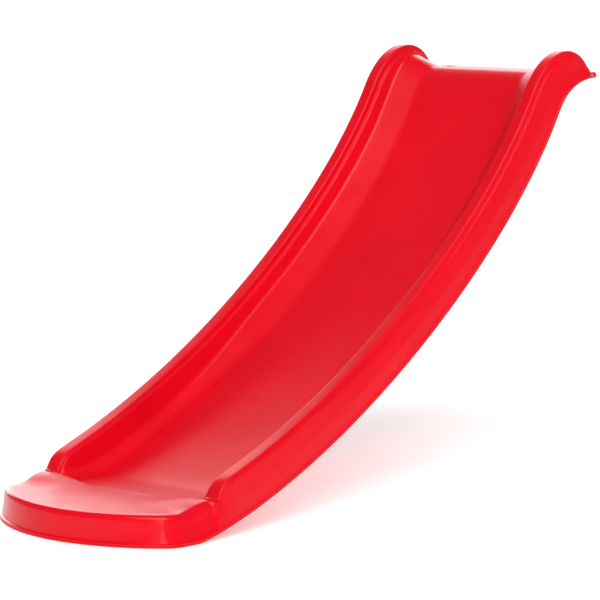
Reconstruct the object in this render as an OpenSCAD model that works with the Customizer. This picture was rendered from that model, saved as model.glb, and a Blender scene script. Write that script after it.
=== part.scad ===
// Wave slide for a low platform: a twin-skin plastic moulding.
// Built lying as used: nose on the ground at -Y, lip on the platform at +Y,
// Z up, X across. The origin is the middle of the footprint, on the ground.
// The upper skin makes the bed, rails, skirts and nose. The lower skin closes
// it from below, and both are welded along one seam at the bottom edge.

/* [Overall size] */
// height of the platform the lip rests on
platform_h = 600; // [500:5:720]
// level distance from the front of the nose to the edge of the lip's tongue
run_l = 1045; // [900:5:1255]
// width over the bottom edges of the two skirts
overall_w = 364; // [330:2:430]

/* [Rails] */
// height of a rail from its bottom edge to its top, square to the slope
rail_h = 62; // [54:1:74]
// width of the raised bead along the top of a rail
bead_w = 22; // [18:1:26]
// how far the bead sits in from the bottom edge of the skirt
bead_inset = 11; // [9:0.5:14]
// height of the step beside the bead near the hump
step_h = 9; // [6:0.5:12]
// how far the hump of each rail stands above the platform
hump_rise = 43; // [36:1:60]
// length over which the front end of a rail rounds up from the nose
rail_end_l = 34; // [24:1:44]

/* [Bed] */
// height of the bed above the bottom edge, square to the slope
bed_h = 15; // [13:1:18]
// width of the flat part of the bed
bed_w = 196; // [150:2:230]
// height of the bed crest above the bottom edge at the hump
crest_h = 29; // [24:1:34]

/* [Nose] */
// height of the flat run-out above the ground
nose_h = 44; // [36:1:52]
// radius of the bowed front edge, seen from above
nose_front_r = 248; // [220:2:320]
// radius of the two front corners, seen from above
nose_corner_r = 43; // [36:1:60]
// level distance from the front of the nose to where the skirts leave the ground
ground_l = 118; // [110:1:130]
// width given up on each side by the nose against the skirts
nose_narrow = 3.5; // [2:0.5:6]

/* [Skins and seam] */
// wall thickness of the upper skin
skin_t = 3; // [2.5:0.1:3.5]
// wall thickness of the lower skin
under_t = 2.5; // [2:0.1:3]
// depth of the shallow recess in the lower skin
recess_d = 4; // [2:0.5:5]

/* [Lip] */
// thickness of the lip where it lies on the platform
lip_t = 9; // [8:0.5:12]
// length of the tongue that reaches on past the rim
tongue_l = 27; // [20:1:34]
// how much narrower the tongue is than the slide, each side
tongue_inset = 17; // [12:1:30]
// distance of the screw holes from the edge of the tongue
hole_back = 24; // [18:1:30]
// distance between the two screw holes
hole_gap = 220; // [150:5:260]
// bore of the sleeve that lines each screw hole
sleeve_bore = 6.5; // [5:0.1:8]
// outside diameter of the sleeve
sleeve_od = 9; // [8:0.1:12]
// diameter of the flange of the sleeve
sleeve_flange_d = 16; // [13:0.5:20]
// thickness of the flange of the sleeve
sleeve_flange_t = 1; // [0.8:0.1:1.5]

/* [Vent plugs] */
// diameter of the vent holes in the lower skin
vent_d = 12; // [8:0.5:16]
// diameter of the head of a vent plug
vent_head_d = 18; // [14:0.5:22]
// thickness of the head of a vent plug
vent_head_t = 1.5; // [1:0.1:2]
// distance between the two vent plugs, across the slide
vent_gap = 160; // [100:5:200]

/* [Hidden] */
// how many sections each region is made of, from the nose to the hump
arc_n = 6;
corner_n = 6;
foot_n = 13;
main_n = 17;
hump_n = 10;
// of the foot sections, how many stand on the level part
level_n = 3;
half_w = overall_w / 2;
nose_w = half_w - nose_narrow;
bead_out = half_w - bead_inset;
bead_in = bead_out - bead_w;
seam = under_t;
// least half width that the bead needs, and the half widths of the rim and the tongue
least_w = bead_out + 3;
rim_w = half_w - 1;
tongue_w = half_w - tongue_inset;
rim_y = run_l - tongue_l;

// bottom edge of the skirt: one curve up the slope, one round the knee
low_0 = [ground_l, 0];
low_1 = [0.3954 * rim_y, 0.1 * platform_h];
low_2 = [0.7713 * rim_y, 0.528 * platform_h];
low_3 = [0.9092 * rim_y, 0.918 * platform_h];
top_dir = unit(low_3 - low_2);
knee_reach = 34;
knee_back = 54;
knee_drop = 6;
knee_1 = low_3 + knee_reach * top_dir;
knee_2 = [rim_y - knee_back, platform_h - knee_drop];
knee_3 = [rim_y - 12, platform_h];

// hump of the rail, from the top of the slope down to the lip
hump_end = 5;
hump_back = 34;
hump_lift = 7;
hump_tilt = 4;
hump_0 = low_3 + rail_h * left_of(top_dir);
hump_3 = [rim_y - hump_end, platform_h + lip_t + hump_lift];
hump_z = (8 * (platform_h + hump_rise) - hump_0[1] - hump_3[1]) / 6;
hump_1 = hump_0 + (hump_z - hump_tilt - hump_0[1]) / top_dir[1] * top_dir;
hump_2 = [rim_y - hump_back, hump_z + hump_tilt];

// bowed front: the angle where the bow meets the corner round, and its centre
bow_end = asin((nose_w - nose_corner_r) / (nose_front_r - nose_corner_r));
corner_y = nose_front_r - (nose_front_r - nose_corner_r) * cos(bow_end);

// which sub-part to show

function unit(v) = v / norm(v);
function left_of(v) = [-v[1], v[0]];
function mix(a, b, t) = a + (b - a) * t;
function clamp(t) = min(1, max(0, t));
function smooth(a, b, t) = let(q = clamp((t - a) / (b - a))) q * q * (3 - 2 * q);
function soft_max(a, b, k) = (a + b + sqrt((a - b) * (a - b) + k * k)) / 2;
function bez(p, q, r, s, t) = (1 - t) ^ 3 * p + 3 * t * (1 - t) ^ 2 * q + 3 * t * t * (1 - t) * r + t ^ 3 * s;
function slope(p, q, r, s, t) = (1 - t) ^ 2 * (q - p) + 2 * t * (1 - t) * (r - q) + t * t * (s - r);

// nose outline seen from above, at a turning angle, moved in by an inset
function outline(a, inset) = a < bow_end
    ? [(nose_front_r - inset) * sin(a), nose_front_r - (nose_front_r - inset) * cos(a)]
    : [nose_w - nose_corner_r + (nose_corner_r - inset) * sin(a), corner_y - (nose_corner_r - inset) * cos(a)];

// a station is [kind, foot of the section, direction of its height, rail height, bed height,
// outer half width, share of rail shape, share of step, share of solid lip, turning angle]
function nose_station(a) = ["nose", [mix(60, corner_y, a / 90), 0], [0, 1], nose_h, nose_h, nose_w, 0, 0, 0, a];

// foot region: the side runs level, then up the first part of the slope curve, where
// the rail ends round up from the nose this far past the point where the skirts lift off
foot_t = 0.152;
rail_start = 54;
function foot_station(i) =
    let(g = (i - level_n) / (foot_n - level_n),
        t = i <= level_n ? 0 : foot_t * g ^ 0.8,
        e = i <= level_n ? [mix(corner_y, ground_l, i / level_n), 0] : bez(low_0, low_1, low_2, low_3, t),
        full = left_of(unit(slope(low_0, low_1, low_2, low_3, t))),
        n = unit(mix([0, 1], full, smooth(corner_y, ground_l + 30, e[0]))),
        plate = (nose_h - e[1]) / n[1],
        r = clamp((e[0] - ground_l - rail_start) / rail_end_l),
        rail = soft_max(plate, mix(plate, rail_h, sqrt(1 - (1 - r) ^ 2)), 0.1))
    ["slope", e, n, rail, soft_max(plate, bed_h, 6),
     mix(nose_w, half_w, smooth(corner_y, ground_l + 50, e[0])),
     smooth(ground_l + 22, ground_l + 66, e[0]), 0, 0, 90];
function main_station(i) =
    let(t = mix(foot_t, 1, i / main_n),
        e = bez(low_0, low_1, low_2, low_3, t),
        n = left_of(unit(slope(low_0, low_1, low_2, low_3, t))),
        plate = (nose_h - e[1]) / n[1])
    ["slope", e, n, rail_h, mix(soft_max(plate, bed_h, 6), bed_h + 2, smooth(0.9, 1, t)), half_w, 1,
     smooth(0.3, 0.62, t), 0, 90];
function hump_station(i) =
    let(s = i / hump_n,
        e = bez(low_3, knee_1, knee_2, knee_3, s),
        p = bez(hump_0, hump_1, hump_2, hump_3, s),
        d = p - e,
        bed = s < 0.5 ? mix(bed_h + 2, crest_h, smooth(0, 0.5, s)) : mix(crest_h, lip_t - 0.5, smooth(0.45, 1, s)))
    ["slope", e, unit(d), norm(d), min(bed, norm(d) + 1), mix(half_w, rim_w, smooth(0.3, 1, s)), 1, 1,
     smooth(0.5, 0.92, s), 90];

// the level rim past the hump, which narrows to the tongue over a short neck
neck_l = 4;
function rim_station(y, h, b, w) = ["slope", [y, platform_h], [0, 1], h, b, w, 1, 1, 1, 90];

stations = concat(
    [for (i = [0 : arc_n]) nose_station(bow_end * i / arc_n)],
    [for (i = [1 : corner_n]) nose_station(mix(bow_end, 90, i / corner_n))],
    [for (i = [1 : foot_n]) foot_station(i)],
    [for (i = [1 : main_n]) main_station(i)],
    [for (i = [1 : hump_n]) hump_station(i)],
    [rim_station(mix(hump_3[0], rim_y, 0.5), lip_t, lip_t - 0.5, rim_w),
     rim_station(rim_y, lip_t - 1, lip_t - 0.5, rim_w),
     rim_station(rim_y + neck_l, lip_t, lip_t, tongue_w),
     rim_station(run_l, lip_t, lip_t, tongue_w)]);

// half section of the rail and bed as [distance out, height], bottom edge first
function rail_section(st) =
    let(h = st[3], b = st[4], w = max(st[5], least_w),
        f = clamp(h / 52),
        step = mix(4.2, step_h, st[7]) * f,
        c = 3.2 * f,
        crease = mix(b, h, 0.42),
        foot = bead_out + 0.9,
        wall = bead_in - 8,
        flat = bed_w / 2)
    [[w, seam], [w, seam + 2.5 * f], [mix(foot, w, 0.93), seam + 3.5 * f], [mix(foot, w, 0.72), 0.45 * h],
     [mix(foot, w, 0.45), h - step - 3 * f], [mix(foot, w, 0.28), h - step],
     [foot, h - step], [bead_out, h - step + 0.3 * (step - c)], [bead_out - 0.3, h - c],
     [bead_out - 3.3, h - 0.1 * c], [(bead_out + bead_in) / 2, h], [bead_in + 3.3, h - 0.1 * c],
     [bead_in + 0.3, h - c], [bead_in, h - step + 0.3 * (step - c)], [bead_in - 1.2, h - step],
     [bead_in - 5, h - step - 1.2 * f], [wall, crease],
     [mix(wall, flat, 0.4), mix(b, crease, 0.42)], [mix(wall, flat, 0.7), mix(b, crease, 0.12)],
     [flat, b], [flat * 0.66, b], [flat * 0.33, b], [0, b]];

// side of the nose as [inset from the outline, height], then the level plate
nose_side = [[0, seam], [0, seam + 2.5], [3.2, seam + 3.5], [5, 0.32 * nose_h], [7, 0.6 * nose_h],
             [8.5, 0.78 * nose_h], [11, 0.9 * nose_h], [14.5, 0.97 * nose_h], [18.5, 0.993 * nose_h],
             [23, nose_h]];
side_n = len(nose_side) - 1;
// the front of the nose stands steeper than its sides
front_steep = 0.2;
function steep(a) = mix(front_steep, 1, smooth(35, 85, a));
function side_in(k, a) = k < 3 ? nose_side[k][0] : nose_side[2][0] + (nose_side[k][0] - nose_side[2][0]) * steep(a);
function edge_in(a) = side_in(side_n, a);
cols = len(rail_section(main_station(1)));
mid = cols - 1;
function plate_share(k) = (k - side_n) / (mid - side_n);

// the half section that one station really has, in its own plane
function section(st) =
    let(rails = rail_section(st),
        plate = (nose_h - st[1][1]) / st[2][1],
        w = max(st[5], least_w),
        narrow = st[5] / w)
    [for (k = [0 : mid])
        let(flat = k <= side_n
                ? [w - side_in(k, st[9]), nose_side[k][1] * plate / nose_h]
                : [(w - edge_in(st[9])) * (1 - plate_share(k)), plate])
        let(p = k == 0 ? [w, seam] : mix(flat, rails[k], st[6]))
        [p[0] * narrow, p[1]]];

// how far the inner face moves for one unit of wall, square to the section at point k
function inward(sec, k) = k == 0 ? [-1, 0] : k == len(sec) - 1 ? [0, -1]
    : let(p = left_of(unit(sec[k] - sec[k - 1])), q = left_of(unit(sec[k + 1] - sec[k])))
      (p + q) / max(1 + p * q, 0.4);
// the inner face of the upper skin; at the lip it comes down onto the lower skin.
// The walls of the nose are offset as if they all leaned like its sides.
function inner(st, sec) =
    let(lean = st[0] == "nose" ? section([for (i = [0 : 9]) i == 9 ? 90 : st[i]]) : sec)
    [for (k = [0 : mid])
        let(thin = sec[k] + skin_t * inward(lean, k),
            pressed = [sec[k][0] * (1 - skin_t / sec[0][0]) * (1 - 0.003 * k), seam])
        mix(thin, pressed, st[8])];

// a section point placed in space: nose sections fan out, the others stand square to the slope
function place(st, p, k) = st[0] == "slope"
    ? [p[0], st[1][0] + p[1] * st[2][0], st[1][1] + p[1] * st[2][1]]
    : let(q = k <= side_n
            ? outline(st[9], nose_w - p[0])
            : mix(outline(st[9], edge_in(st[9])), [0, st[1][0]], plate_share(k)))
      [q[0], q[1], p[1]];
function outer_row(st) = let(sec = section(st)) [for (k = [0 : mid]) place(st, sec[k], k)];
function inner_row(st) = let(sec = inner(st, section(st))) [for (k = [0 : mid]) place(st, sec[k], k)];

// lower skin: the half section of its bottom face and of its top face
under_cols = 9;
function under_station(st) =
    let(r = st[0] == "nose" ? 0 : recess_d * smooth(ground_l, ground_l + 90, st[1][0]) * (1 - smooth(0, 0.12, st[8])),
        w = st[5])
    [[w, 0], [w - skin_t, 0], [w - 12, 0], [w - 18, r], [0.68 * w, r], [0.5 * w, r], [0.34 * w, r], [0.17 * w, r],
     [0, r]];
function under_place(st, p, k) = st[0] == "slope"
    ? [p[0], st[1][0] + p[1] * st[2][0], st[1][1] + p[1] * st[2][1]]
    : let(q = k <= 3
            ? outline(st[9], nose_w - p[0])
            : mix(outline(st[9], 18), [0, st[1][0]], (k - 3) / (under_cols - 4)))
      [q[0], q[1], p[1]];
function under_row(st, lift) =
    let(sec = under_station(st)) [for (k = [0 : under_cols - 1]) under_place(st, sec[k] + [0, lift], k)];

// close a pair of half grids into a solid: both mirrored, joined along the
// bottom edge and across the lip; the first row is folded onto the middle line
module close_skin(top, low) {
    n = len(top);
    m = len(top[0]);
    full = 2 * m - 1;
    function wide(row) = concat(row, [for (k = [m - 2 : -1 : 0]) [-row[k][0], row[k][1], row[k][2]]]);
    points = concat(top[0], low[0], [for (j = [1 : n - 1]) each wide(top[j])], [for (j = [1 : n - 1]) each wide(low[j])]);
    function fold(k) = k < m ? k : full - 1 - k;
    function at(side, j, k) = j == 0 ? side * m + fold(k) : 2 * m + (side * (n - 1) + j - 1) * full + k;
    function quad(a, b, c, d) = [[a, c, b], [a, d, c]];
    faces = concat(
        [for (j = [0 : n - 2], k = [0 : full - 2])
            each quad(at(0, j, k), at(0, j + 1, k), at(0, j + 1, k + 1), at(0, j, k + 1))],
        [for (j = [0 : n - 2], k = [0 : full - 2])
            each quad(at(1, j, k), at(1, j, k + 1), at(1, j + 1, k + 1), at(1, j + 1, k))],
        [for (j = [0 : n - 2])
            each quad(at(0, j, 0), at(1, j, 0), at(1, j + 1, 0), at(0, j + 1, 0))],
        [for (j = [0 : n - 2])
            each quad(at(0, j, full - 1), at(0, j + 1, full - 1), at(1, j + 1, full - 1), at(1, j, full - 1))],
        [for (k = [0 : full - 2])
            each quad(at(0, n - 1, k), at(1, n - 1, k), at(1, n - 1, k + 1), at(0, n - 1, k + 1))]);
    polyhedron(points, [for (f = faces) if (f[0] != f[1] && f[1] != f[2] && f[2] != f[0]) f]);
}

// lip: one row of screw holes near the edge of the tongue, each a hair wider than its sleeve
hole_y = run_l - hole_back;
hole_fn = 24;
hole_ease = 0.1;
module lip_holes(d) {
    for (side = [-1, 1])
        translate([side * hole_gap / 2, hole_y, platform_h - 1])
            cylinder(d = d / cos(180 / hole_fn) + hole_ease, h = lip_t + 2, $fn = hole_fn);
}

// vent plugs stand square to the lower skin, part of the way up the slope, each in a
// thickened patch of it; the patch starts a little below the floor of the recess
vent_t = 0.45;
vent_seat = recess_d - 1.5;
patch_t = under_t + 2.5;
patch_rim = 3;
vent_e = bez(low_0, low_1, low_2, low_3, vent_t);
vent_n = left_of(unit(slope(low_0, low_1, low_2, low_3, vent_t)));
module at_vents() {
    for (side = [-1, 1])
        translate([side * vent_gap / 2, vent_e[0], vent_e[1]])
            rotate([atan2(-vent_n[0], vent_n[1]), 0, 0])
                children();
}

module chute_shell() {
    color([0.85, 0.06, 0.10])
        resize([overall_w, 0, 0]) difference() {
            close_skin([for (st = stations) outer_row(st)], [for (st = stations) inner_row(st)]);
            lip_holes(sleeve_od);
        }
}

module underside_shell() {
    color([0.80, 0.05, 0.09])
        resize([overall_w, 0, 0]) difference() {
            union() {
                close_skin([for (st = stations) under_row(st, under_t)], [for (st = stations) under_row(st, 0)]);
                at_vents() translate([0, 0, vent_seat])
                    cylinder(d = vent_head_d + 2 * patch_rim, h = patch_t, $fn = 48);
            }
            lip_holes(sleeve_od);
            at_vents() translate([0, 0, -2])
                cylinder(d = vent_d, h = 14, $fn = 48);
        }
}

module lip_sleeves() {
    color([0.72, 0.73, 0.75])
        for (side = [-1, 1])
            translate([side * hole_gap / 2, hole_y, platform_h])
                difference() {
                    union() {
                        cylinder(d = sleeve_od, h = lip_t, $fn = 48);
                        translate([0, 0, lip_t])
                            cylinder(d = sleeve_flange_d, h = sleeve_flange_t, $fn = 48);
                    }
                    translate([0, 0, -1])
                        cylinder(d = sleeve_bore, h = lip_t + sleeve_flange_t + 2, $fn = 48);
                }
}

module vent_plugs() {
    color([0.75, 0.05, 0.08])
        at_vents() {
            translate([0, 0, vent_seat - vent_head_t])
                cylinder(d = vent_head_d, h = vent_head_t, $fn = 48);
            translate([0, 0, vent_seat])
                cylinder(d = vent_d, h = patch_t, $fn = 48);
        }
}

translate([0, -run_l / 2, 0]) {
    chute_shell();
    underside_shell();
    lip_sleeves();
    vent_plugs();
}
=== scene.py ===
import bmesh
import bpy
import numpy as np
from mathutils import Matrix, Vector


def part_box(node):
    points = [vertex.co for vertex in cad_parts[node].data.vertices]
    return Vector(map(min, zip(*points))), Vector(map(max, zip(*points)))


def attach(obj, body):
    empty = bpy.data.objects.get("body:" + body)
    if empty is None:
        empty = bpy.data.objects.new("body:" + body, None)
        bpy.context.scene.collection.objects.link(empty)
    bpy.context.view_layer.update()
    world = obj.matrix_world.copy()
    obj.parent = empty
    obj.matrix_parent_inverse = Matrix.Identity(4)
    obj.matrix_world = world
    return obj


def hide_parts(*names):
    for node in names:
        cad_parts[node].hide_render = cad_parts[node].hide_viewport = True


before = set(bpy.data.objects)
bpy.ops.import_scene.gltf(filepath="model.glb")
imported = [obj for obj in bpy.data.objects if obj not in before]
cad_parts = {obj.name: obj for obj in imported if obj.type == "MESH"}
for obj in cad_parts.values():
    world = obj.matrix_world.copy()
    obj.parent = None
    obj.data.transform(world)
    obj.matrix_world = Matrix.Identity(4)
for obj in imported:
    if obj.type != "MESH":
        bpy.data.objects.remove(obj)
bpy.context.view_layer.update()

# ---------------------------------------------------------------- upper skin
# The whole upper half of the slide: level nose, bed, two raised rails and the
# humped lip. One moulding in red polyethylene about 3 mm thick, glossy, with
# the fine orange peel of the mould, welded to the lower skin at its edge.

LOW, HIGH = (np.array(corner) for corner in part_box("chute_shell"))
RUN = HIGH[1] - LOW[1]
HALF_W = HIGH[0]
LIP_T = 0.009
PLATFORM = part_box("lip_sleeves")[0][2]
SEAM = LOW[2]
SKIN = 0.003

NOSE_H = 0.044
PLATE_RISE = 0.011
NOSE_W = HALF_W - 0.0035
FRONT_R = 0.248
CORNER_R = 0.043
SIDE_EDGE = 0.023
FRONT_EDGE = 0.0078
GROUND_L = 0.118

RAIL_H = 0.062
BEAD_OUT = HALF_W - 0.011
BEAD_IN = BEAD_OUT - 0.022
WALL_X = BEAD_IN - 0.0105
BED_H = 0.015
BED_HALF = 0.097
CREST_H = 0.0255
LEAST_W = BEAD_OUT + 0.003
RIM_W = HALF_W - 0.001
RIM_Y = RUN - 0.027
TONGUE_W = HALF_W - 0.017
# the front face of a rail end: where it stands on the plate, and its rise over run
FACE_Y = 0.1572
FACE_STEEP = 2.2
# where the skirts start, behind the nose's own side walls
SKIRT_Y = 0.1525
# rows of the mesh along each stretch
ROWS_NOSE = (30, 30)
ROWS_FOOT = (14, 62, 62)
ROWS_SLOPE = 74
ROWS_HUMP = 50


def ease(start, end, t):
    """Smoothstep from 0 to 1 while t goes from start to end."""
    s = np.clip((t - start) / (end - start), 0, 1)
    return s * s * (3 - 2 * s)


def mix(a, b, t):
    """Straight blend from a to b."""
    return a + (b - a) * t


def soft_max(a, b, k):
    """The larger of two values, rounded over a width k where they meet."""
    return (a + b + np.sqrt((a - b) ** 2 + k * k)) / 2


def unit(v):
    """Vectors brought to length 1."""
    return v / np.linalg.norm(v, axis=-1, keepdims=True)


def left_of(v):
    """Vectors of a plane turned a quarter turn to the left."""
    return np.stack([-v[..., 1], v[..., 0]], -1)


def curve(points, t):
    """Cubic Bezier: four points weighted by the Bernstein polynomials of t."""
    t = np.atleast_1d(t)[:, None]
    p, q, r, s = (np.array(point) for point in points)
    return (1 - t) ** 3 * p + 3 * t * (1 - t) ** 2 * q + 3 * t * t * (1 - t) * r + t**3 * s


def heading(points, t):
    """Direction of that Bezier: its derivative, brought to length 1."""
    t = np.atleast_1d(t)[:, None]
    p, q, r, s = (np.array(point) for point in points)
    return unit((1 - t) ** 2 * (q - p) + 2 * t * (1 - t) * (r - q) + t * t * (s - r))


# the knee under the hump: how far the slope's line runs on, where the curve comes
# in below the platform, and where it is level
KNEE_REACH = 0.034
KNEE_BACK = 0.054
KNEE_DROP = 0.006
KNEE_END = 0.012
# the hump: its rise over the platform, the tilt and setback of its top, and how far
# before the rim and how high over the lip it ends
HUMP_RISE = 0.043
HUMP_TILT = 0.004
HUMP_BACK = 0.034
HUMP_STOP = 0.005
HUMP_LIFT = 0.007

# bottom edge of the skirts, up the slope and round the knee under the hump
SLOPE = [
    (GROUND_L, 0.0),
    (0.3954 * RIM_Y, 0.1 * PLATFORM),
    (0.7713 * RIM_Y, 0.528 * PLATFORM),
    (0.9092 * RIM_Y, 0.918 * PLATFORM),
]
TOP_DIR = heading(SLOPE, 1.0)[0]
SLOPE_END = np.array(SLOPE[3])
KNEE = [
    SLOPE_END,
    SLOPE_END + KNEE_REACH * TOP_DIR,
    (RIM_Y - KNEE_BACK, PLATFORM - KNEE_DROP),
    (RIM_Y - KNEE_END, PLATFORM),
]

# top of the rails over the hump and down to the rim
HUMP_START = SLOPE_END + RAIL_H * left_of(TOP_DIR)
HUMP_END = np.array((RIM_Y - HUMP_STOP, PLATFORM + LIP_T + HUMP_LIFT))
HUMP_Z = (8 * (PLATFORM + HUMP_RISE) - HUMP_START[1] - HUMP_END[1]) / 6
HUMP = [
    HUMP_START,
    HUMP_START + (HUMP_Z - HUMP_TILT - HUMP_START[1]) / TOP_DIR[1] * TOP_DIR,
    (RIM_Y - HUMP_BACK, HUMP_Z + HUMP_TILT),
    HUMP_END,
]

# the bow of the nose meets its corner rounds at this turning angle
BOW_END = np.arcsin((NOSE_W - CORNER_R) / (FRONT_R - CORNER_R))
CORNER_Y = FRONT_R - (FRONT_R - CORNER_R) * np.cos(BOW_END)


def outline(turn, inset):
    """Nose seen from above: a wide arc, then a tight one tangent to it, both moved in by the inset."""
    bow = np.stack([(FRONT_R - inset) * np.sin(turn), FRONT_R - (FRONT_R - inset) * np.cos(turn)], -1)
    radius = CORNER_R - inset
    corner = np.stack([NOSE_W - CORNER_R + radius * np.sin(turn), CORNER_Y - radius * np.cos(turn)], -1)
    return np.where((turn < BOW_END)[..., None], bow, corner)


def plate_rise(y, x):
    """Rise of the run-out plate over its level: along its sides only, just ahead of the rail ends."""
    return PLATE_RISE * ease(0.092, 0.166, y) * ease(0.055, 0.15, x)


def stations():
    """Rows from the front of the nose to the edge of the lip, as a dictionary of arrays:
    foot and up (bottom edge and direction of height, in the Y-Z plane), rail and bed
    (heights along up), width, turn (angle of the nose outline), press (share of solid
    lip) and rails (1 on the rows that carry rails, 0 on the nose)."""
    bow, corner = np.linspace(0, BOW_END, ROWS_NOSE[0]), np.linspace(BOW_END, np.pi / 2, ROWS_NOSE[1])
    turn = np.concatenate([bow[:-1], corner])
    n = len(turn)
    centre = mix(0.06, CORNER_Y, turn / (np.pi / 2))
    nose = dict(
        foot=np.stack([centre, 0 * centre], -1),
        up=np.tile([0.0, 1.0], (n, 1)),
        rail=np.full(n, NOSE_H),
        bed=np.full(n, NOSE_H),
        width=np.full(n, NOSE_W),
        turn=turn,
        press=np.zeros(n),
        rails=np.zeros(n),
    )

    flat = np.linspace(CORNER_Y, GROUND_L, 9)[1:-1]
    level = np.stack([flat, 0 * flat], -1)
    spread = zip((0, 0.026, 0.066), (0.026, 0.066, 0.17), ROWS_FOOT)
    t = [np.linspace(start, end, n)[:-1] for start, end, n in spread]
    t = np.concatenate(t + [np.linspace(0.17, 1, ROWS_SLOPE)])
    foot = np.concatenate([level, curve(SLOPE, t)])
    t = np.concatenate([0 * flat, t])
    lean = ease(CORNER_Y, GROUND_L + 0.03, foot[:, 0])[:, None]
    up = unit(mix(np.array([0.0, 1.0]), left_of(heading(SLOPE, t)), lean))
    level = (NOSE_H - foot[:, 1]) / up[:, 1]
    plate = level + plate_rise(foot[:, 0], HALF_W) / up[:, 1]
    rail = np.full(len(t), RAIL_H)
    for _ in range(14):
        y = foot[:, 0] + rail * up[:, 0]
        face = NOSE_H + 0.0015 + FACE_STEEP * (y - FACE_Y)
        full = foot[:, 1] + RAIL_H * up[:, 1]
        top = -soft_max(-face, -full, 0.014)
        rail = soft_max(plate, np.maximum((top - foot[:, 1]) / up[:, 1], plate - 0.004), 0.0012)
    slope = dict(
        foot=foot,
        up=up,
        rail=rail,
        bed=mix(soft_max(level, BED_H, 0.006), BED_H + 0.002, ease(0.9, 1, t)),
        width=mix(NOSE_W, HALF_W, ease(CORNER_Y, GROUND_L + 0.03, foot[:, 0])),
        turn=np.full(len(t), np.pi / 2),
        press=np.zeros(len(t)),
        rails=np.ones(len(t)),
    )

    s = np.linspace(0, 1, ROWS_HUMP)[1:]
    foot = curve(KNEE, s)
    rise = curve(HUMP, s) - foot
    rail = np.linalg.norm(rise, axis=1)
    crest = np.where(
        s < 0.5, mix(BED_H + 0.002, CREST_H, ease(0, 0.5, s)), mix(CREST_H, LIP_T - 0.0005, ease(0.45, 1, s))
    )
    hump = dict(
        foot=foot,
        up=unit(rise),
        rail=rail,
        bed=np.minimum(crest, rail + 0.001),
        width=mix(HALF_W, RIM_W, ease(0.3, 1, s)),
        turn=np.full(len(s), np.pi / 2),
        press=ease(0.5, 0.92, s),
        rails=np.ones(len(s)),
    )

    # the rim: along from its edge, inwards from its width, down from the top of the lip
    shy = RIM_W - TONGUE_W
    y = RIM_Y + np.array([-0.0040, -0.0032, -0.0022, -0.0008, 0, 0.0006, 0.004, 0.008, 0.026, 0.027])
    width = RIM_W - np.array([0, 0, 0, 0, 0.0006, 0.002, shy, shy, shy, shy + 0.001])
    top = LIP_T - np.array([-0.0035, -0.0012, 0.0008, 0.0014, 0.0022, 0.0026, 0.0026, 0.0014, 0.0008, 0.0018])
    n = len(y)
    rim = dict(
        foot=np.stack([y, np.full(n, PLATFORM)], -1),
        up=np.tile([0.0, 1.0], (n, 1)),
        rail=top,
        bed=np.minimum(top + 0.001, LIP_T),
        width=width,
        turn=np.full(n, np.pi / 2),
        press=np.ones(n),
        rails=np.ones(n),
    )
    parts = (nose, slope, hump, rim)
    return {key: np.concatenate([part[key] for part in parts]) for key in nose}


def rounded(points, radii, arc, spans):
    """Each row's polyline with its corners rounded: at a corner a parabola tangent to both
    sides, its ends a tangent length r / tan(half the corner's angle) away, and the straight
    stretches between corners cut into the given number of spans."""
    out = [points[:, :1]]
    exits = points[:, 0]
    for k in range(1, points.shape[1] - 1):
        corner = points[:, k]
        back, ahead = points[:, k - 1] - corner, points[:, k + 1] - corner
        before = np.linalg.norm(back, axis=1, keepdims=True) + 1e-9
        after = np.linalg.norm(ahead, axis=1, keepdims=True) + 1e-9
        cosine = np.clip((back * ahead).sum(1, keepdims=True) / before / after, -0.9999, 0.9999)
        length = radii[:, k : k + 1] * np.sqrt((1 + cosine) / (1 - cosine))
        length = np.minimum(length, 0.46 * np.minimum(before, after))
        enter, leave = corner + back / before * length, corner + ahead / after * length
        share = np.linspace(0, 1, spans[k - 1] + 1)[None, 1:-1, None]
        out.append(mix(exits[:, None], enter[:, None], share))
        u = np.linspace(0, 1, arc[k])[None, :, None]
        out.append((1 - u) ** 2 * enter[:, None] + 2 * u * (1 - u) * corner[:, None] + u * u * leave[:, None])
        exits = leave
    share = np.linspace(0, 1, spans[-1] + 1)[None, 1:, None]
    out.append(mix(exits[:, None], points[:, -1:], share))
    return np.concatenate(out, 1)


def edge_inset(turn):
    """How far the edge of the level plate stands in from the outline: the front wall is the steepest."""
    return mix(FRONT_EDGE, SIDE_EDGE, ease(0.15, 1.5, turn))


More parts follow.
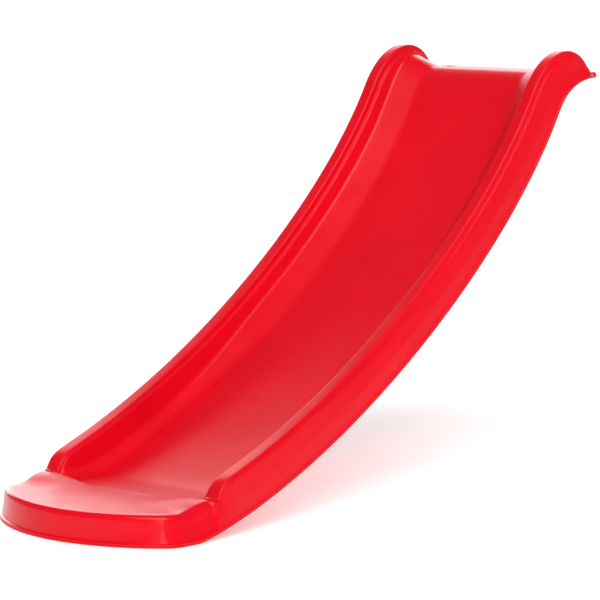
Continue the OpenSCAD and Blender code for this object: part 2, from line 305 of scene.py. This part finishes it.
def upper_section(st):
    """Closed half section of the upper skin for every row, from the middle of its inner face
    out to the seam, up the skirt, over the bead and back along the bed: (x, height) corners,
    with the radius of each corner. Nose and rail shapes blend along the rail ends."""
    h, b, w = st["rail"], st["bed"], np.maximum(st["width"], LEAST_W)
    y = st["foot"][:, 0]
    one = np.ones_like(h)
    small = np.clip(h / 0.05, 0, 1)
    step = mix(0.0034, 0.0095, ease(0.30, 0.60, y)) * small
    deep = ease(0.40, 0.62, y)
    flat = mix(0.122, BED_HALF, deep)
    crease = mix(b, b + mix(0.008, 0.019, deep), np.clip(h / 0.04 - 0.5, 0, 1))
    crease = np.minimum(crease, mix(b, h, 0.6))
    flare = ease(0.86, 0.98, y / RUN) * small
    skirt_top = BEAD_OUT + 0.0009 + 0.28 * (w - BEAD_OUT)
    skirt_knee = mix(mix(w, skirt_top, 0.45), skirt_top + 0.0004, flare)
    knee_h = mix(0.45, 0.36, flare) * h
    rail_pts = [
        (0 * one, b - SKIN),
        (flat, b - SKIN),
        (WALL_X + SKIN, crease - SKIN),
        (BEAD_IN + SKIN, h - SKIN),
        (BEAD_OUT - SKIN, h - SKIN),
        (skirt_top - SKIN, h - step - SKIN),
        (w - SKIN, SEAM + 0 * one),
        (w, SEAM + 0 * one),
        (w - 0.0002, SEAM + 0.0022 * small),
        (w - 0.0009, SEAM + 0.0028 * small),
        (skirt_knee, knee_h),
        (skirt_top, h - step),
        (BEAD_OUT + 0.0007, h - step),
        (BEAD_OUT - 0.0007, h),
        (BEAD_IN + 0.0007, h),
        (BEAD_IN - 0.0007, h - step),
        (BEAD_IN - 0.0048, h - step - 0.0012 * small),
        (WALL_X, crease),
        (flat, b),
        (0 * one, b),
    ]
    edge = edge_inset(st["turn"])
    nose_w = st["width"]
    plate = (NOSE_H - st["foot"][:, 1]) / st["up"][:, 1]
    inner_x = nose_w - edge
    side = edge - 0.0035
    nose_pts = [
        (0 * one, plate - SKIN),
        (0.5 * inner_x, plate - SKIN),
        (0.7 * inner_x, plate - SKIN),
        (0.9 * inner_x, plate - SKIN),
        (inner_x - 0.001, plate - SKIN),
        (nose_w - 0.0035 - 0.5 * side - SKIN, 0.5 * plate),
        (nose_w - SKIN, SEAM + 0 * one),
        (nose_w, SEAM + 0 * one),
        (nose_w, SEAM + 0.0027 + 0 * one),
        (nose_w - 0.0035, SEAM + 0.0034 + 0 * one),
        (nose_w - 0.0035 - 0.22 * side, 0.5 * plate),
        (nose_w - 0.0035 - 0.44 * side, plate),
        (inner_x - 0.016, plate),
        (inner_x - 0.018, plate),
        (inner_x - 0.020, plate),
        (inner_x - 0.023, plate),
        (inner_x - 0.026, plate),
        (inner_x - 0.030, plate),
        (inner_x - 0.045, plate),
        (0 * one, plate),
    ]
    rail_pts = np.stack([np.stack(np.broadcast_arrays(*p), -1) for p in rail_pts], 1)
    nose_pts = np.stack([np.stack(np.broadcast_arrays(*p), -1) for p in nose_pts], 1)
    tip = 1 - ease(0.17, 0.205, y)
    rail_r = np.stack(
        np.broadcast_arrays(
            0, 0.01, 0.004, 0.002, 0.002, 0.003, 0, 0.0006, 0.0005, 0.0008,
            mix(0.05, 0.02, flare) * one,
            0.0032 * small,
            0.0022 * small,
            mix(0.0042, 0.007, tip) * small,
            mix(0.0042, 0.007, tip) * small,
            0.0022 * small,
            0.003 * small,
            mix(0.014, 0.009, deep),
            mix(0.045, 0.03, deep),
            0,
        ),
        1,
    )
    round_top = mix(0.0085, 0.017, ease(0.45, 1.1, st["turn"]))
    nose_r = np.stack(
        np.broadcast_arrays(
            0 * one, 0, 0, 0, 0.003, 0.004, 0, 0.0006, 0.0009, 0.0014, 0.05, round_top, 0, 0, 0, 0, 0, 0, 0, 0
        ),
        1,
    )
    arc = [0, 2, 2, 2, 2, 3, 2, 4, 4, 5, 6, 8, 6, 8, 8, 6, 6, 8, 10, 0]
    spans = [2, 2, 2, 1, 2, 3, 1, 1, 1, 3, 4, 1, 2, 2, 2, 1, 4, 3, 9]
    rail_line = rounded(rail_pts, rail_r, arc, spans)
    nose_line = rounded(nose_pts, nose_r, arc, spans)
    lift = st["rails"][:, None] * plate_rise(y[:, None], nose_line[..., 0]) / st["up"][:, 1:]
    above = (nose_line[..., 1] - SEAM) / np.maximum(plate - SEAM, 0.004)[:, None]
    nose_line[..., 1] += lift * np.clip(above, 0, 1)

    # rail shapes take over in one short step: a crisp one on the skirts, which shows as
    # a narrow upright face, and a softer one a little further forward on the inside
    up, foot = st["up"], st["foot"]
    y_point = foot[:, :1] + nose_line[..., 1] * up[:, :1]
    inside = ease(NOSE_W - SIDE_EDGE - 0.012, NOSE_W - SIDE_EDGE + 0.004, nose_line[..., 0])
    begin = mix(SKIRT_Y, SKIRT_Y - 0.0075, inside)
    ahead = (y_point - begin) / mix(0.0045, 0.010, inside) - 0.5
    ramp = (np.sqrt((ahead + 0.5) ** 2 + 0.03) - np.sqrt((ahead - 0.5) ** 2 + 0.03) + 1) / 2
    share = mix(ramp, ease(begin, begin + 0.010, y_point), inside) * st["rails"][:, None]
    share = share * ease(0.115, 0.135, y_point)
    line = mix(nose_line, rail_line, share[..., None])

    narrow = np.minimum(st["width"] / LEAST_W, 1)[:, None]
    line[..., 0] *= narrow
    split = sum(arc[:7]) + sum(s - 1 for s in spans[:6]) + 1
    pressed = np.stack([line[:, :split, 0] * 0.985, np.full_like(line[:, :split, 0], SEAM)], -1)
    line[:, :split] = mix(line[:, :split], pressed, st["press"][:, None, None])

    corners = np.cumsum([0] + [a + s - 1 for a, s in zip(arc[1:], spans)])
    column = np.arange(line.shape[1])[None, :]
    bead = ease(corners[12] + 2, corners[12] + 6, column)
    bead = bead * (1 - ease(corners[14] - 5, corners[14] - 1, column))
    bed = ease(corners[17] - 4, corners[17] + 6, column)
    plate_top = ease(corners[11] - 3, corners[11] + 2, column)
    rubbed = mix(plate_top, np.maximum(bead * 0.8, bed), share)
    return line, rubbed


def place(st, line, edge):
    """Section points in space. Slope rows stand along their own up direction. Nose rows fan
    out: past the plate's edge they follow the outline, and inside it they run to the middle line."""
    x, h = line[..., 0], line[..., 1]
    foot, up = st["foot"][:, None], st["up"][:, None]
    straight = np.stack([x, foot[..., 0] + h * up[..., 0], foot[..., 1] + h * up[..., 1]], -1)
    turn = np.broadcast_to(st["turn"][:, None], x.shape)
    inset = NOSE_W - x
    rim = outline(turn, np.minimum(inset, edge[:, None]))
    share = np.clip((inset - edge[:, None]) / (NOSE_W - edge[:, None]), 0, 1)
    middle = np.stack([0 * share, foot[..., 0] + 0 * share], -1)
    fan = mix(rim, middle, share[..., None])
    fan = np.concatenate([fan, h[..., None]], -1)
    return np.where((st["rails"] == 0)[:, None, None], fan, straight)


def skin_object(name, rows, node, rubbed):
    """A closed skin from half sections that are closed loops through the middle line: each
    row is mirrored, rows are joined by quads, the first row is welded onto the middle line
    and the last one is capped by one face. The share of rubbing goes into an attribute."""
    count, half = rows.shape[:2]
    mirrored = rows[:, 1:-1][:, ::-1] * np.array([-1, 1, 1])
    ring = np.concatenate([rows, mirrored], 1)
    ring[..., 1] += LOW[1]
    around = ring.shape[1]
    index = np.arange(count * around).reshape(count, around)
    fold = np.arange(around)
    index[0, half:] = index[0, 1 : half - 1][::-1]
    following = np.roll(index, -1, axis=1)
    quads = np.stack([index[:-1], index[1:], following[1:], following[:-1]], -1).reshape(-1, 4)
    faces = [tuple(dict.fromkeys(q)) for q in quads.tolist()]
    faces = [f for f in faces if len(f) > 2] + [tuple(index[-1].tolist())]
    mesh = bpy.data.meshes.new(name)
    mesh.from_pydata(ring.reshape(-1, 3).tolist(), [], faces)
    rubbed = np.concatenate([rubbed, rubbed[:, 1:-1][:, ::-1]], 1)
    share = mesh.attributes.new("rubbed", "FLOAT", "POINT")
    share.data.foreach_set("value", rubbed.ravel().astype(np.float32))
    mesh.validate()
    weld(mesh)
    mesh.polygons.foreach_set("use_smooth", np.ones(len(mesh.polygons), bool))
    mesh.polygons[-1].use_smooth = False
    piece = bpy.data.objects.new(name, mesh)
    bpy.context.collection.objects.link(piece)
    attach(piece, "root")
    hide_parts(node)
    return piece


def weld(mesh):
    """Merges coincident points of the mesh, drops loose points and turns its faces outwards."""
    bm = bmesh.new()
    bm.from_mesh(mesh)
    bmesh.ops.remove_doubles(bm, verts=bm.verts, dist=2e-6)
    bmesh.ops.delete(bm, geom=[v for v in bm.verts if not v.link_faces], context="VERTS")
    bmesh.ops.recalc_face_normals(bm, faces=bm.faces)
    bm.to_mesh(mesh)
    bm.free()


def moulded_red(name, base, deep, rough, peel):
    """Glossy red polyethylene: base colour drifting slowly towards a deeper red, roughness
    that varies by the hand, orange peel a couple of millimetres across over slow waves of
    the skin, and fine scuffs that dull the gloss."""
    material = bpy.data.materials.new(name)
    material.use_nodes = True
    nodes, links = material.node_tree.nodes, material.node_tree.links
    shader = nodes["Principled BSDF"]
    where = nodes.new("ShaderNodeTexCoord")

    def noise(scale, detail, rough_detail=0.5):
        """Fractal noise over the object's own coordinates, a scale of 1 being a metre."""
        n = nodes.new("ShaderNodeTexNoise")
        n.inputs["Scale"].default_value = scale
        n.inputs["Detail"].default_value = detail
        n.inputs["Roughness"].default_value = rough_detail
        links.new(where.outputs["Object"], n.inputs["Vector"])
        return n.outputs["Fac"]

    def remap(value, low, high, start=0.3, end=0.7):
        """The stretch from start to end taken straight onto low to high, held beyond."""
        m = nodes.new("ShaderNodeMapRange")
        m.inputs["From Min"].default_value = start
        m.inputs["From Max"].default_value = end
        m.inputs["To Min"].default_value = low
        m.inputs["To Max"].default_value = high
        links.new(value, m.inputs["Value"])
        return m.outputs["Result"]

    tint = nodes.new("ShaderNodeMix")
    tint.data_type = "RGBA"
    tint.inputs["A"].default_value = (*base, 1)
    tint.inputs["B"].default_value = (*deep, 1)
    links.new(remap(noise(9, 3), 0, 1), tint.inputs["Factor"])
    links.new(tint.outputs["Result"], shader.inputs["Base Color"])

    rubbed = nodes.new("ShaderNodeAttribute")
    rubbed.attribute_name = "rubbed"
    gloss = nodes.new("ShaderNodeMath")
    gloss.operation = "ADD"
    links.new(remap(noise(14, 4), rough - 0.03, rough + 0.04), gloss.inputs[0])
    links.new(remap(rubbed.outputs["Fac"], 0, 0.17, 0, 1), gloss.inputs[1])
    grain = nodes.new("ShaderNodeMath")
    grain.operation = "ADD"
    links.new(gloss.outputs["Value"], grain.inputs[0])
    links.new(remap(noise(700, 2), -0.03, 0.04), grain.inputs[1])
    links.new(grain.outputs["Value"], shader.inputs["Roughness"])

    slow = nodes.new("ShaderNodeBump")
    slow.inputs["Strength"].default_value = 1
    slow.inputs["Distance"].default_value = 0.0011
    links.new(noise(11, 2), slow.inputs["Height"])
    fine = nodes.new("ShaderNodeBump")
    fine.inputs["Strength"].default_value = 1
    fine.inputs["Distance"].default_value = peel
    links.new(noise(420, 2.5, 0.55), fine.inputs["Height"])
    links.new(slow.outputs["Normal"], fine.inputs["Normal"])
    links.new(fine.outputs["Normal"], shader.inputs["Normal"])

    shader.inputs["IOR"].default_value = 1.5
    shader.inputs["Specular IOR Level"].default_value = 0.2
    return material


upper_red = moulded_red("upper_red", (0.82, 0.0025, 0.014), (0.74, 0.002, 0.012), 0.19, 0.00015)

rows = stations()
upper_line, upper_rubbed = upper_section(rows)
upper_place = place(rows, upper_line, edge_inset(rows["turn"]))
upper = skin_object("upper_skin", upper_place, "chute_shell", upper_rubbed)
upper.data.materials.append(upper_red)

# ---------------------------------------------------------------- lower skin
# Closes the slide from below. The same red polyethylene, 2.5 mm thick, level
# under the nose and the lip and drawn up 4 mm into a shallow panel between,
# welded to the upper skin all round its edge.

RECESS = 0.004
PANEL_EDGE = 0.012


def lower_section(st):
    """Closed half section of the lower skin: its top face from the middle out to the seam,
    down its edge and back along the bottom, which rises into the panel."""
    w = st["width"]
    one = np.ones_like(w)
    y = st["foot"][:, 0]
    drawn = RECESS * ease(GROUND_L, GROUND_L + 0.09, y) * (1 - ease(0, 0.12, st["press"]))
    points = [
        (0 * one, drawn + SEAM),
        (w - 0.02, drawn + SEAM),
        (w - 0.0125, SEAM * one),
        (w, SEAM * one),
        (w, 0 * one),
        (w - PANEL_EDGE, 0 * one),
        (w - PANEL_EDGE - 0.007, drawn),
        (0 * one, drawn),
    ]
    points = np.stack([np.stack(p, -1) for p in points], 1)
    radii = np.tile([0, 0.004, 0.004, 0.0006, 0.0009, 0.005, 0.005, 0], (len(w), 1))
    return rounded(points, radii, [0, 4, 4, 4, 5, 6, 6, 0], [6, 2, 3, 2, 3, 2, 12])


lower_line = lower_section(rows)
lower_place = place(rows, lower_line, np.full(len(rows["turn"]), 0.02))
lower = skin_object("lower_skin", lower_place, "underside_shell", np.zeros(lower_line.shape[:2]))
lower_red = moulded_red("lower_red", (0.74, 0.009, 0.018), (0.64, 0.006, 0.014), 0.36, 0.00012)
lower.data.materials.append(lower_red)

# ---------------------------------------------------------------- lip sleeves
# Two flanged steel sleeves pressed into the screw holes of the lip, turned
# from plain bar: fine turning lines, a dull grey shine.


def turned_steel(name):
    """Steel with rings of slightly changing roughness, as turning leaves them."""
    material = bpy.data.materials.new(name)
    material.use_nodes = True
    nodes, links = material.node_tree.nodes, material.node_tree.links
    shader = nodes["Principled BSDF"]
    where = nodes.new("ShaderNodeTexCoord")
    rings = nodes.new("ShaderNodeTexNoise")
    rings.inputs["Scale"].default_value = 1800
    rings.inputs["Detail"].default_value = 2
    links.new(where.outputs["Object"], rings.inputs["Vector"])
    spread = nodes.new("ShaderNodeMapRange")
    spread.inputs["To Min"].default_value = 0.24
    spread.inputs["To Max"].default_value = 0.46
    links.new(rings.outputs["Fac"], spread.inputs["Value"])
    links.new(spread.outputs["Result"], shader.inputs["Roughness"])
    shader.inputs["Base Color"].default_value = (0.56, 0.57, 0.59, 1)
    shader.inputs["Metallic"].default_value = 1
    return material


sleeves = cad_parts["lip_sleeves"]
sleeves.material_slots[0].material = turned_steel("sleeve_steel")

# ---------------------------------------------------------------- vent plugs
# Two push-in plugs that close the holes through which the hollow moulding
# breathed as it cooled. Red polyethylene, duller than the skins.

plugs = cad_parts["vent_plugs"]
plug_red = moulded_red("plug_red", (0.66, 0.008, 0.016), (0.58, 0.006, 0.013), 0.44, 0.00006)
plugs.material_slots[0].material = plug_red

# ---------------------------------------------------------------- studio
# A pale level floor under an even sky, a broad soft light from high on the
# right, a second from behind on the left that the level plate and the crest
# mirror, and a narrow one that draws a line down the corner of the nose.


def broad_light(name, source, spread, power):
    """Soft light from a direction: parallel light whose source fills the given angle of the sky."""
    data = bpy.data.lights.new(name, "SUN")
    data.angle = np.radians(spread)
    data.energy = power
    lamp = bpy.data.objects.new(name, data)
    lamp.rotation_euler = Vector(source).to_track_quat("Z", "Y").to_euler()
    bpy.context.collection.objects.link(lamp)


bpy.ops.mesh.primitive_plane_add(size=60, location=(0, 0, -0.0005))
floor = bpy.context.object
floor.name = "floor"
floor_paint = bpy.data.materials.new("floor_pale")
floor_paint.use_nodes = True
floor_shader = floor_paint.node_tree.nodes["Principled BSDF"]
floor_shader.inputs["Base Color"].default_value = (0.9, 0.9, 0.9, 1)
floor_shader.inputs["Roughness"].default_value = 0.8
floor_shader.inputs["Specular IOR Level"].default_value = 0.1
floor_shader.inputs["Emission Color"].default_value = (1, 1, 1, 1)
floor_shader.inputs["Emission Strength"].default_value = 0.32
floor.data.materials.append(floor_paint)

world = bpy.data.worlds.new("studio")
bpy.context.scene.world = world
world.use_nodes = True
world.node_tree.nodes["Background"].inputs["Color"].default_value = (1, 1, 1, 1)
world.node_tree.nodes["Background"].inputs["Strength"].default_value = 0.22
bpy.context.scene.view_settings.view_transform = "Standard"


def strip_light(name, place_at, aim, width, height, power):
    """A tall narrow soft light at a place, turned to face a point, that no camera sees itself."""
    data = bpy.data.lights.new(name, "AREA")
    data.shape = "RECTANGLE"
    data.size = width
    data.size_y = height
    data.energy = power
    lamp = bpy.data.objects.new(name, data)
    lamp.location = place_at
    lamp.rotation_euler = (Vector(place_at) - Vector(aim)).to_track_quat("Z", "Y").to_euler()
    lamp.visible_camera = False
    bpy.context.collection.objects.link(lamp)


broad_light("key", (0.55, -0.42, 0.85), 44, 2.2)
broad_light("back", (-0.64, 0.70, 0.28), 52, 2.1)
strip_light("strip", (3.2, -3.7, 1.0), (0, -0.4, 0.1), 0.16, 1.4, 24)

# ---------------------------------------------------------------- camera
# A long lens well back from the slide, a little above its lip, looking in from
# the front on its right.
camera_data = bpy.data.cameras.new("camera")
camera_data.lens = 180
camera_data.sensor_width = 36
camera_data.shift_x = -0.0162
camera_data.shift_y = 0.0142
camera = bpy.data.objects.new("camera", camera_data)
camera.location = (2.965, -2.806 + LOW[1], 0.867)
camera.rotation_euler = (np.radians(90 - 7.638), 0, np.radians(41.483))
bpy.context.collection.objects.link(camera)
bpy.context.scene.camera = camera
